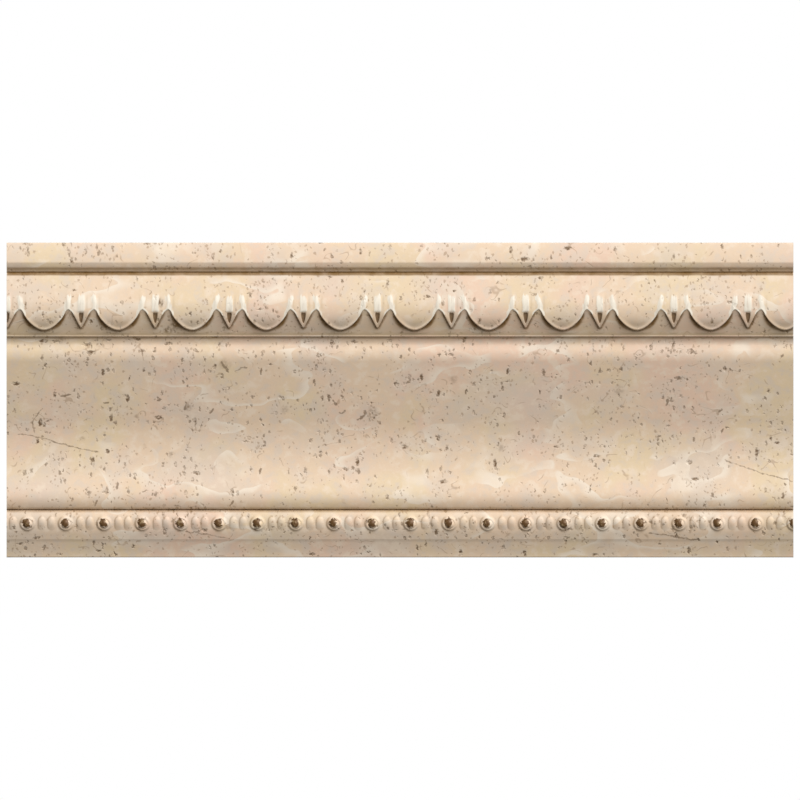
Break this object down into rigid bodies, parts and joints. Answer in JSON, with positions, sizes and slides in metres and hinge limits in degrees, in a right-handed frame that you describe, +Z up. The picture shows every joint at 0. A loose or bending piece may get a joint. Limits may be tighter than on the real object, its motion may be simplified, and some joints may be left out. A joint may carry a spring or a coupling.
{
  "type": "cornice moulding length",
  "caption": "Straight length of cream stone cornice with an egg-and-dart ovolo, a plain cove and a bead-and-reel strip, with a flat keyed back and square ends.",
  "frame": {"origin": "centre of the flat back face, which is bedded on the wall", "axes": "+X along the length to the right as seen from the front, +Y into the wall, +Z up"},
  "size_m": [0.3, 0.053, 0.12],
  "materials": {
    "stone": "satin cream travertine with pits and veins, pearly ribs and dark antiqued bead domes"
  },
  "bodies": {
    "root": {"cornice_length": "stone"}
  },
  "joints": []
}
